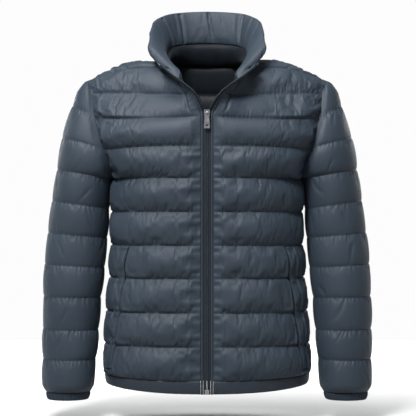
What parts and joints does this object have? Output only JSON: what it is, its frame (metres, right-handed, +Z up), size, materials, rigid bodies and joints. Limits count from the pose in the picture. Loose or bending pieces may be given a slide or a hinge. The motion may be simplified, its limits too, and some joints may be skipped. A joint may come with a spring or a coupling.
{
  "type": "puffer jacket",
  "caption": "Light quilted jacket in worn form with no wearer: level padded channels, stand collar folded open, front zip, slanted pockets, hem band and elastic cuffs.",
  "frame": {"origin": "between the shoulders, on the middle plane, level with the foot of the collar at its sides: where the garment hangs on its wearer", "axes": "+Z up, -Y out of the front, +X towards the wearer's left"},
  "size_m": [0.6574, 0.2571, 0.7806],
  "materials": {
    "shell": "smooth padded nylon, satin",
    "collar": "smooth padded nylon, satin",
    "band": "smooth unpadded nylon",
    "elastic": "gathered elastic binding, matt",
    "zip_tape": "woven tape with a moulded coil, matt",
    "metal": "satin"
  },
  "bodies": {
    "garment": {"front_right": "shell", "front_left": "shell", "back": "shell", "sleeve_right": "shell", "sleeve_left": "shell", "pocket_welt_right": "shell", "pocket_welt_left": "shell", "collar": "collar", "hem_band": "band", "placket_right": "band", "placket_left": "band", "cuff_right": "elastic", "cuff_left": "elastic", "zip_tape_right": "zip_tape", "zip_tape_left": "zip_tape", "zip_slider": "metal", "zip_box": "metal", "top_stop_right": "metal", "top_stop_left": "metal"},
    "pull_tab": {"zip_pull": "metal"}
  },
  "joints": [
    {"name": "pull_tab_hinge", "type": "hinge", "parent": "garment", "child": "pull_tab", "pos_m": [0, -0.1311, -0.1215], "axis": [-1, 0, 0], "range_deg": [0, 150]}
  ]
}
